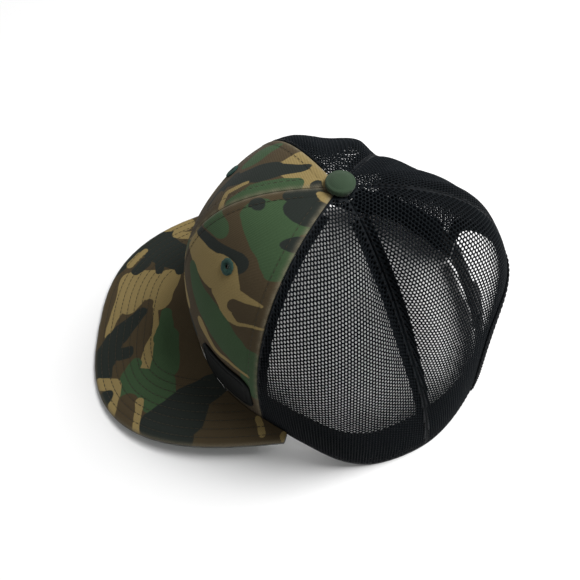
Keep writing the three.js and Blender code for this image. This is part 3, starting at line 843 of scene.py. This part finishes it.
mesh_lines = []
for seam in (2, 4, -2, -4):
    for direction in ((1,) if seam == 2 else (-1,) if seam == -2 else (1, -1)):
        mesh_lines.append(crown_line(*beside_seam(seam, direction * 1.1, 0.3, 11.1)))
for side in (1, -1):
    for height in (0.16, 0.42):
        stations = side * np.linspace(2.06, 5.02, 120)
        rows = np.full(120, height)
        mesh_lines.append((crown_in(stations, rows, np.full(120, -0.02)), crown_out(stations, rows)))
BACK_SEAM_FOOT = 5.6
for direction in (1, -1):
    mesh_lines.append(crown_line(*beside_seam(6, direction * 1.1, BACK_SEAM_FOOT, 11.1)))
stitches("mesh_seam_stitching", mesh_lines, "crown", BLACK_THREAD, thread=0.13)

# ---- Seam tapes -----------------------------------------------------------------------------------

TAPE_HALF, TAPE_THICK = 4, 0.6
FRONT_TAPE_DEPTH, MESH_TAPE_DEPTH = 2.7, 1.6


def seam_tape(node, station, depth, low):
    """Woven tape along the inside of a seam, slightly cupped, with thicker edges."""
    rows = np.linspace(low, 11, 110)
    across = np.linspace(-1, 1, 15)
    h = 0.01
    scale = np.linalg.norm(crown(station + h, rows) - crown(station - h, rows), axis=1) / (2 * h)
    u = station + across[None, :] * TAPE_HALF / scale[:, None]
    r = np.broadcast_to(rows[:, None], u.shape)
    edge = 0.12 * smooth((np.abs(across) - 0.8) / 0.15)[None, :]
    pucker = 0.06 * np.sin(rows * 13)[:, None] * (1 - np.abs(across))[None, :]
    outer = crown_in(u, r, depth + pucker)
    inner = crown_in(u, r, depth + TAPE_THICK + edge + pucker)
    v, f, _ = shell(outer.swapaxes(0, 1), inner.swapaxes(0, 1))
    obj = make(f"{node}_cloth", v, f, "crown", TAPE_BLACK)
    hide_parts(node)


def seam_tapes():
    seam_tape("seam_tape_front", 0, FRONT_TAPE_DEPTH, 0.02)
    for name, side in (("left", 1), ("right", -1)):
        seam_tape(f"seam_tape_front_{name}", side * 2, FRONT_TAPE_DEPTH, 0.02)
        seam_tape(f"seam_tape_back_{name}", side * 4, MESH_TAPE_DEPTH, 0.02)
    top_of_arch = float(on_back(np.array([0.0]), np.array([ARCH_HEIGHT + 1.5]))[1][0])
    seam_tape("seam_tape_back", 6, MESH_TAPE_DEPTH, top_of_arch)


# ---- Sweatband, seen through the mesh -----------------------------------------------------------

BAND_WIDTH = 31


def sweatband():
    us = np.linspace(-SWEATBAND_END, SWEATBAND_END, 1100)
    rows = np.concatenate([np.linspace(0, 0.12, 4), np.linspace(0.2, 1.85, 14), np.linspace(1.9, 2.0, 4)])
    u, r = np.meshgrid(us, rows, indexing="ij")
    run = np.concatenate([[0], np.cumsum(np.linalg.norm(np.diff(crown(us, 0.0 * us), axis=0), axis=1))])
    face = 3.75
    rib = 0.22 * np.sin(run * 2 * math.pi / 3.6)[:, None] * smooth(r / 0.3) * smooth((2 - r) / 0.3)
    welt = 0.25 * (np.exp(-((r - 1.93) / 0.06) ** 2) + np.exp(-((r - 0.06) / 0.06) ** 2))
    outer = crown_in(u, r, face - 0.25 + rib - welt * 0.3)
    inner = crown_in(u, r, face + 0.95 + rib + welt)
    uv = np.stack([np.broadcast_to(run[:, None], u.shape), r * BAND_WIDTH / 2], -1)
    v, f, uvs = shell(outer, inner, None, uv)
    obj = make("sweatband_cloth", v, f, "crown", BAND_BLACK, uvs)
    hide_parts("sweatband")
    return obj, run[-1]


band, band_length = sweatband()

# ---- Arch binding ---------------------------------------------------------------------------------

def on_back(x, z):
    """Station and row of the back of the crown at given x and z."""
    u, r = 6 - x / 48.0, np.clip(z / 13.0, 0.01, 8)
    for _ in range(25):
        p, d = crown(u, r), 1e-3
        pu, pr = (crown(u + d, r) - p) / d, (crown(u, r + d) - p) / d
        ex, ez = x - p[..., 0], z - p[..., 2]
        det = pu[..., 0] * pr[..., 2] - pr[..., 0] * pu[..., 2]
        u = u + np.clip((ex * pr[..., 2] - ez * pr[..., 0]) / det, -0.3, 0.3)
        r = r + np.clip((ez * pu[..., 0] - ex * pu[..., 2]) / det, -0.8, 0.8)
    return u, r


def arch_path(grow, count=120):
    """The arch's outline in x and z, from the foot on the left over the top to the right."""
    half, top = ARCH_HALF + grow, ARCH_HEIGHT + grow - ARCH_STRAIGHT
    legs = np.linspace(0.3, ARCH_STRAIGHT, 12)[:-1]
    a = np.linspace(0, math.pi, count)
    x = np.concatenate([np.full(11, half), half * np.cos(a), np.full(11, -half)])
    z = np.concatenate([legs, ARCH_STRAIGHT + top * np.sin(a), legs[::-1]])
    return x, z


def binding():
    """Tape folded over the cut edge of the arch: an outside leaf, the fold and an inside one."""
    profile = (  # distance from the edge of the opening, depth below the crown
        (6.0, -0.55), (5.6, -0.85), (3.4, -0.95), (1.2, -0.9), (0.0, -0.85), (-0.75, -0.4), (-1.0, 0.35),
        (-0.7, 1.1), (0.1, 1.5), (3.0, 1.45), (4.8, 1.4), (4.8, 1.05), (0.4, 1.05), (0.1, 0.6),
        (0.2, -0.1), (3.0, -0.2), (5.9, -0.2),
    )
    rings = []
    for grow, depth in profile:
        x, z = arch_path(grow)
        u, r = on_back(x, z)
        wave = 0.05 * np.sin(np.arange(len(x)) * 1.9)
        rings.append(crown_in(u, r, depth + wave))
    loops = np.stack(rings, 1)
    v, f = sweep(loops)
    obj = make("binding_tape", v, f, "crown", TAPE_BLACK)
    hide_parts("arch_binding")
    lines = []
    for grow in (1.3, 4.7):
        x, z = arch_path(grow)
        u, r = on_back(x, z)
        lines.append((crown_in(u, r, np.full(len(u), -0.93)), crown_out(u, r)))
    stitches("binding_stitching", lines, "crown", BLACK_THREAD, thread=0.2)


binding()
seam_tapes()

# ---- Button and eyelets ---------------------------------------------------------------------------

def button():
    """Cloth-covered button: a domed top pulled over a straight side, with gathers below."""
    wide = BUTTON_RADIUS - 1.4
    profile = [(0.0, 5.7)]
    for a in np.linspace(0.12, 1, 11):
        profile.append((wide * a, 5.7 - 1.55 * a**2.6))
    for a in np.linspace(0.2, 1, 6) * math.pi / 2:
        profile.append((wide + 1.4 * math.sin(a), 2.95 + 1.2 * math.cos(a)))
    profile += [(wide + 1.35, 2.2), (wide + 1.25, 1.4), (wide + 1.0, 0.8), (wide + 0.4, 0.4)]
    count = 96
    angle = np.arange(count) / count * 2 * math.pi
    rings = []
    for r, z in profile[1:]:
        gather = 0.16 * smooth((3.4 - z) / 2.2)
        rr = r * (1 + 0.004 * np.sin(3 * angle + 1)) + gather * np.sin(17 * angle + 0.8 * np.sin(3 * angle))
        dent = -0.10 * np.exp(-((angle - 3.9) / 0.25) ** 2) * (r / BUTTON_RADIUS)
        rings.append(np.stack([rr * np.cos(angle), rr * np.sin(angle), np.full(count, z) + dent], 1))
    base = np.array(rings[-1])
    rings.append(base * (0.2, 0.2, 1))
    v, f = sweep(np.array(rings)[::-1])
    tilt = Matrix.Rotation(-math.atan(TOP_FALL), 3, "X")
    v = v @ np.array(tilt).T + (0, TOP_Y, HEIGHT)
    obj = make("button_cloth", v, f, "crown", BUTTON_GREEN)
    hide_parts("button_cover")


button()


def eyelet(side, name):
    """Buttonhole stitches wound radially round a vent hole."""
    centre = crown(side * EYELET_STATION, EYELET_ROW)
    out = crown_out(side * EYELET_STATION, EYELET_ROW)
    across = np.cross((0, 0, 1), out)
    across /= np.linalg.norm(across)
    up = np.cross(out, across)
    turns, per = 34, 8
    count = turns * per
    a = np.arange(count) / count * 2 * math.pi
    bead = 0.5 + 0.5 * np.cos(np.arange(count) / per * 2 * math.pi)
    rings = []
    section = np.arange(12) / 12 * 2 * math.pi
    jag = np.repeat(rng.normal(0, 0.12, turns), per)
    for k in section:
        radial = 2.7 + (1.45 + 0.12 * bead + (jag if math.cos(k) > 0.5 else 0)) * math.cos(k)
        high = 0.62 + (0.62 + 0.14 * bead) * math.sin(k)
        ring = centre + np.outer(np.cos(a) * radial, across)
        ring = ring + np.outer(np.sin(a) * radial, up)
        rings.append(ring + np.outer(np.full(count, 1) * high, out))
    loops = np.stack(rings, 1)
    v, f = sweep(loops, closed=True)
    obj = make(f"eyelet_stitching_{name}", v, f, "crown", EYELET_THREAD)
    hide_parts(f"eyelet_{name}")


eyelet(1, "left")
eyelet(-1, "right")

# ---- Badge ----------------------------------------------------------------------------------------

def badge():
    """Moulded plate bent to the crown, with a bevelled edge and a sunk line inside it."""
    centre_out = crown_out(BADGE_STATION, BADGE_ROW)
    d = 1e-3
    ahead = crown(BADGE_STATION + d, BADGE_ROW) - crown(BADGE_STATION - d, BADGE_ROW)
    ahead /= np.linalg.norm(ahead)
    up = np.cross(centre_out, ahead)
    middle = crown(BADGE_STATION, BADGE_ROW)

    def land(a, b, lift):
        """Point of the crown straight behind a point of the plate's plane, lifted off it."""
        u, r = np.full(a.shape, BADGE_STATION), np.full(a.shape, BADGE_ROW)
        for _ in range(12):
            p = crown(u, r)
            pu, pr = (crown(u + d, r) - p) / d, (crown(u, r + d) - p) / d
            e = p - middle
            ea, eb = a - e @ ahead, b - e @ up
            m11, m12, m21, m22 = pu @ ahead, pr @ ahead, pu @ up, pr @ up
            det = m11 * m22 - m12 * m21
            u = u + (ea * m22 - eb * m12) / det
            r = r + (eb * m11 - ea * m21) / det
        return crown_in(u, r, -lift)

    def outline(inset, count=128):
        hw, hh = BADGE_WIDE / 2 - inset, BADGE_HIGH / 2 - inset
        corner = max(BADGE_CORNER - inset, 0.6)
        per = count // 4
        points = []
        for cx, cy, start in ((hw, hh, 0), (-hw, hh, 90), (-hw, -hh, 180), (hw, -hh, 270)):
            q = np.radians(start + np.linspace(0, 90, per - 6))
            sx, sy = cx - math.copysign(corner, cx), cy - math.copysign(corner, cy)
            arc = np.stack([sx + corner * np.cos(q), sy + corner * np.sin(q)], 1)
            points.append(arc)
        full = []
        for k in range(4):
            arc, after = points[k], points[(k + 1) % 4][0]
            full.append(arc)
            full.append(arc[-1] + (after - arc[-1]) * (np.arange(1, 7) / 7)[:, None])
        return np.concatenate(full)

    rings = []
    steps = (
        (0.0, 0.32), (0.0, 1.0), (0.25, 1.36), (0.6, 1.5), (2.4, 1.5), (2.6, 1.42), (2.8, 1.12), (3.3, 1.05),
        (3.8, 1.12), (4.0, 1.42), (4.2, 1.5), (6.0, 1.5), (9.0, 1.5), (12.5, 1.5), (15.5, 1.5),
    )
    for inset, lift in steps:
        q = outline(inset)
        rings.append(land(q[:, 0], q[:, 1], np.full(len(q), lift)))
    count = len(rings[0])
    under = []
    for inset in (15.5, 9.0, 3.0):
        q = outline(inset)
        under.append(land(q[:, 0], q[:, 1], np.full(len(q), 0.32)))
    v, f = sweep(np.array(under + rings))
    caps = []
    for face in f:
        if len(face) == count:
            half = count // 2
            ring = list(face)
            for k in range(half - 1):
                caps.append((ring[k], ring[k + 1], ring[count - 2 - k], ring[count - 1 - k]))
        else:
            caps.append(face)
    obj = make("badge_plate", v, caps, "crown", BADGE_BLACK_AND_SHADE)
    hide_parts("front_badge")


badge()

# ---- Brim -----------------------------------------------------------------------------------------

ROW_FIRST, ROW_PITCH, ROW_COUNT = 5.0, 4.9, 8     # stitch rows in from the outer edge


def power(v, e):
    return np.sign(v) * np.abs(v) ** e


def brim_outline(share):
    a = math.pi * (1 - np.asarray(share, float))
    e = 2 / BRIM_SQUARE
    deep = BRIM_DEPTH * math.cos(BRIM_PITCH)
    return np.stack([BRIM_HALF * power(np.cos(a), e), BRIM_HORN_Y - deep * power(np.sin(a), e)], -1)


OUTLINE = brim_outline(np.linspace(0, 1, 1201))


def from_edge(points):
    """Distance of brim points from the outer edge, along the brim."""
    flat = points.reshape(-1, 2)
    best = np.full(len(flat), 1e9)
    for chunk in np.array_split(OUTLINE, 24):
        gap = np.linalg.norm(flat[:, None] - chunk[None], axis=2).min(1)
        best = np.minimum(best, gap)
    return best.reshape(points.shape[:-1])


def brim_cells():
    """Brim points in plan: across the outline and in from it, closer together at the edge."""
    share = np.linspace(0, 1, 300)
    e = (0.5 - 0.5 * np.cos(math.pi * share)) * 0.35 + share * 0.65
    station = -BRIM_HORN_STATION + 2 * BRIM_HORN_STATION * e
    inner = crown_in(station, 0 * station, np.full(len(station), -BRIM_CLEARANCE))[:, :2]
    outer = brim_outline(e)
    b = np.concatenate([np.linspace(0, 0.03, 9)[:-1], np.linspace(0.03, 1, 130)])
    return outer[:, None] * (1 - b[None, :, None]) + inner[:, None] * b[None, :, None], b


def brim_cover(name, node, top, material):
    plan, b = brim_cells()
    d = from_edge(plan)
    half = BRIM_THICK / 2
    rim = half - np.sqrt(np.maximum(half**2 - (half - np.minimum(d, half)) ** 2, 0))
    rows = (d - ROW_FIRST) / ROW_PITCH
    nearest = np.clip(np.round(rows), 0, ROW_COUNT - 1)
    groove = 0.16 * np.exp(-(((rows - nearest) * ROW_PITCH) / 0.75) ** 2)
    groove = groove * (0.85 + 0.3 * np.sin(plan[..., 0] * 2.0) * np.sin(plan[..., 1] * 2.1))
    swell = np.sin(np.clip(rows - np.floor(rows), 0, 1) * math.pi)
    pillow = 0.10 * swell * (d < ROW_FIRST + ROW_PITCH * (ROW_COUNT - 1))
    surface = brim_top(plan[..., 0], plan[..., 1])
    if top:
        face = surface - rim - groove + pillow * 0.6
        back = np.minimum(surface - BRIM_COVER - rim * 0.62, face - 0.25)
    else:
        face = surface - BRIM_THICK + rim + groove - pillow * 0.6
        back = np.maximum(surface - BRIM_THICK + BRIM_COVER + rim * 0.62, face + 0.25)
        back = np.minimum(back, surface - half - 0.02)
    if top:
        back = np.maximum(back, surface - half + 0.02)
    outer = np.concatenate([plan, face[..., None]], -1)
    inner = np.concatenate([plan, back[..., None]], -1)
    uv = np.concatenate([plan, 0.7 * np.exp(-((d / 1.3) ** 2))[..., None]], -1)
    if not top:
        outer, inner, uv = outer[::-1], inner[::-1], uv[::-1]
    v, f, uvs = shell(outer, inner, None, uv)
    obj = make(name, v, f, "crown", material, uvs)
    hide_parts(node)


brim_cover("brim_cloth_top", "brim_cover_top", True, BRIM_CAMO)
brim_cover("brim_cloth_under", "brim_cover_under", False, UNDER_GREEN)


def brim_rows(top):
    """The stitch rows that follow the outer edge, cut off where they meet the crown."""
    lines = []
    tangent = np.gradient(OUTLINE, axis=0)
    normal = np.stack([-tangent[:, 1], tangent[:, 0]], 1)
    normal /= np.linalg.norm(normal, axis=1, keepdims=True)
    stations = np.linspace(-3, 3, 400)
    foot = crown(stations, 0 * stations)[:, :2]
    for k in range(ROW_COUNT):
        inset = ROW_FIRST + k * ROW_PITCH
        p = OUTLINE + normal * inset
        d = from_edge(p)
        clear = np.linalg.norm(p[:, None] - foot[None], axis=2).min(1)
        radius = np.linalg.norm(p, axis=1)
        turn, foot_turn = np.arctan2(p[:, 0], -p[:, 1]), np.arctan2(foot[:, 0], -foot[:, 1])
        hem_radius = np.interp(turn, foot_turn, np.linalg.norm(foot, axis=1))
        good = (d > inset - 0.12) & (clear > 2.5) & (radius > hem_radius)
        p = p[good]
        p = p[np.argsort(np.arctan2(p[:, 0], -p[:, 1] - 60))]
        z = brim_top(p[:, 0], p[:, 1]) - (0.12 if top else BRIM_THICK - 0.12)
        line = np.concatenate([p, z[:, None]], 1)
        up = np.tile((0, 0, 1.0 if top else -1.0), (len(line), 1))
        lines.append((line, up))
    return lines


stitches("brim_stitching_top", brim_rows(True), "crown", CAMO_THREAD, thread=0.2)
stitches("brim_stitching_under", brim_rows(False), "crown", CAMO_THREAD, thread=0.2)

# ---- CAD nodes that show with their own shape -------------------------------------------------------

def finish_node(node, material):
    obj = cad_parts[node]
    obj.data.materials.clear()
    obj.data.materials.append(material)


for node in ("front_lining_left", "front_lining_right"):
    finish_node(node, BUCKRAM)
finish_node("brim_board", BOARD_GREY)
finish_node("button_rivet", STEEL)
for node in ("strap_holes", "strap_pegs", "strap_tab_left", "strap_tab_right"):
    finish_node(node, STRAP_BLACK)

# ---- Floor, light and camera -------------------------------------------------------------------------

def floor():
    mesh = bpy.data.meshes.new("floor")
    size = 6.0
    corners = [(-size, -size, 0), (size, -size, 0), (size, size, 0), (-size, size, 0)]
    mesh.from_pydata(corners, [], [(0, 1, 2, 3)])
    obj = bpy.data.objects.new("floor", mesh)
    bpy.context.scene.collection.objects.link(obj)
    obj.location.z = cad_lo.z - 0.0004
    n = Nodes("pale_floor", rough=0.9, specular=0.1)
    pale = n.mix(n.noise(n.coords(), 60, 2), (0.86, 0.86, 0.86), (0.9, 0.9, 0.9))
    n.link(pale, n.shader.inputs["Base Color"])
    mesh.materials.append(n.material)


floor()


def softbox(name, place, aim, size, power, color=(1, 1, 1)):
    light = bpy.data.lights.new(name, "AREA")
    light.shape, light.size, light.size_y = "RECTANGLE", size[0], size[1]
    light.energy, light.color = power, color
    obj = bpy.data.objects.new(name, light)
    bpy.context.scene.collection.objects.link(obj)
    obj.location = place
    obj.rotation_mode = "QUATERNION"
    obj.rotation_quaternion = (Vector(aim) - Vector(place)).to_track_quat("-Z", "Y")


AIM = (0, 0, 0.05)
softbox("key", (-0.2, 1.0, 1.5), AIM, (0.9, 0.9), 42)
softbox("front_fill", (0.4, -1.3, 1.1), AIM, (1.2, 0.9), 1)
softbox("side_fill", (-1.3, -0.3, 1.0), AIM, (1.0, 1.0), 3)

world = bpy.data.worlds.new("studio")
bpy.context.scene.world = world
world.use_nodes = True
world.node_tree.nodes["Background"].inputs["Color"].default_value = (1, 1, 1, 1)
world.node_tree.nodes["Background"].inputs["Strength"].default_value = 0.27
bpy.context.scene.view_settings.view_transform = "Standard"

CAMERA_AZIMUTH, CAMERA_ELEVATION, CAMERA_ROLL = math.radians(95.57), math.radians(58.05), math.radians(-7.36)
CAMERA_DISTANCE, LENS = 0.380, 36.45
LOOK_AT = Vector((-0.0112, (-34.24 + SHIFT_Y) / 1000, 0.0226))


def camera():
    data = bpy.data.cameras.new("camera")
    data.lens, data.sensor_width = LENS, 36
    data.clip_start, data.clip_end = 0.01, 50
    obj = bpy.data.objects.new("camera", data)
    bpy.context.scene.collection.objects.link(obj)
    ca, sa = math.cos(CAMERA_AZIMUTH), math.sin(CAMERA_AZIMUTH)
    ce, se = math.cos(CAMERA_ELEVATION), math.sin(CAMERA_ELEVATION)
    back = Vector((sa * ce, -ca * ce, se))
    right = Vector((ca, sa, 0))
    up = back.cross(right)
    cr, sr = math.cos(CAMERA_ROLL), math.sin(CAMERA_ROLL)
    image_right = right * cr + up * sr
    image_up = up * cr - right * sr
    turn = Matrix((image_right, image_up, back)).transposed()
    obj.matrix_world = Matrix.Translation(LOOK_AT + back * CAMERA_DISTANCE) @ turn.to_4x4()
    bpy.context.scene.camera = obj


camera()
